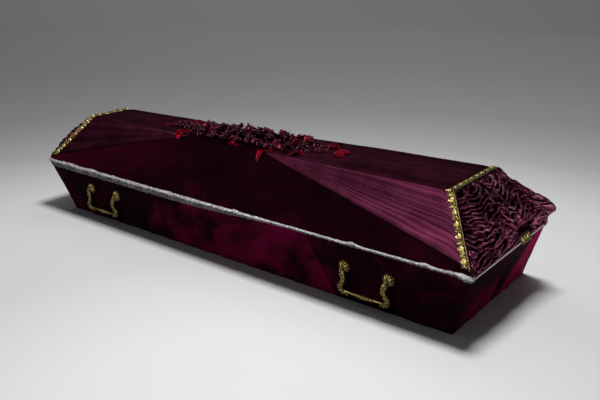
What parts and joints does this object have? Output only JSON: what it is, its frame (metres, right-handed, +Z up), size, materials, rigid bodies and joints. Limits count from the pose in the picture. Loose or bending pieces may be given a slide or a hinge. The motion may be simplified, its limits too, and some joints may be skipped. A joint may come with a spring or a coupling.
{
  "type": "coffin",
  "caption": "Tapered cloth-covered coffin with a hipped lift-off lid, velvet and pleated satin cover, braid edging, bail handles and a spray of satin roses.",
  "frame": {"origin": "on the underside of the floor board, on the centre line, below the middle of the rim", "axes": "+X towards the head end, +Y towards the right side, +Z up"},
  "size_m": [2.1011, 0.6134, 0.4321],
  "materials": {
    "board_wood": "planed softwood, bare",
    "dark_velvet": "crushed velvet, nearly black crimson",
    "burgundy_velvet": "crushed velvet, burgundy",
    "pleated_satin": "pleated satin, plum",
    "gathered_satin": "gathered satin, plum",
    "gold_braid": "embossed braid of metallic gold thread",
    "silver_braid": "braid of metallic silver thread",
    "handle": "antique gold metallised moulding",
    "nail": "bright steel",
    "rose_satin": "folded satin ribbon, dark plum",
    "leaf_satin": "satin, red"
  },
  "bodies": {
    "root": {"case_left_board": "board_wood", "case_right_board": "board_wood", "case_foot_board": "board_wood", "case_head_board": "board_wood", "case_floor_board": "board_wood", "lid_left_board": "board_wood", "lid_right_board": "board_wood", "lid_foot_board": "board_wood", "lid_head_board": "board_wood", "lid_top_board": "board_wood", "case_left_foot_velvet": "dark_velvet", "case_left_middle_velvet": "burgundy_velvet", "case_left_head_velvet": "dark_velvet", "case_right_foot_velvet": "dark_velvet", "case_right_middle_velvet": "burgundy_velvet", "case_right_head_velvet": "dark_velvet", "lid_middle_velvet": "dark_velvet", "lid_head_pleated_satin": "pleated_satin", "lid_foot_pleated_satin": "pleated_satin", "lid_head_gathered_satin": "gathered_satin", "lid_foot_gathered_satin": "gathered_satin", "lid_head_braid_tab": "gold_braid", "lid_head_gold_braid": "gold_braid", "lid_foot_gold_braid": "gold_braid", "case_left_silver_braid": "silver_braid", "case_right_silver_braid": "silver_braid", "case_head_silver_edging": "silver_braid", "case_foot_silver_edging": "silver_braid", "left_head_handle": "handle", "left_head_handle_nail_1": "nail", "left_head_handle_nail_2": "nail", "left_foot_handle": "handle", "left_foot_handle_nail_1": "nail", "left_foot_handle_nail_2": "nail", "right_head_handle": "handle", "right_head_handle_nail_1": "nail", "right_head_handle_nail_2": "nail", "right_foot_handle": "handle", "right_foot_handle_nail_1": "nail", "right_foot_handle_nail_2": "nail", "spray_of_roses": "rose_satin", "spray_leaf_1": "leaf_satin", "spray_leaf_2": "leaf_satin", "spray_leaf_3": "leaf_satin", "spray_leaf_4": "leaf_satin", "spray_leaf_5": "leaf_satin", "spray_leaf_6": "leaf_satin", "spray_leaf_7": "leaf_satin", "spray_leaf_8": "leaf_satin", "spray_leaf_9": "leaf_satin", "spray_leaf_10": "leaf_satin"}
  },
  "joints": []
}
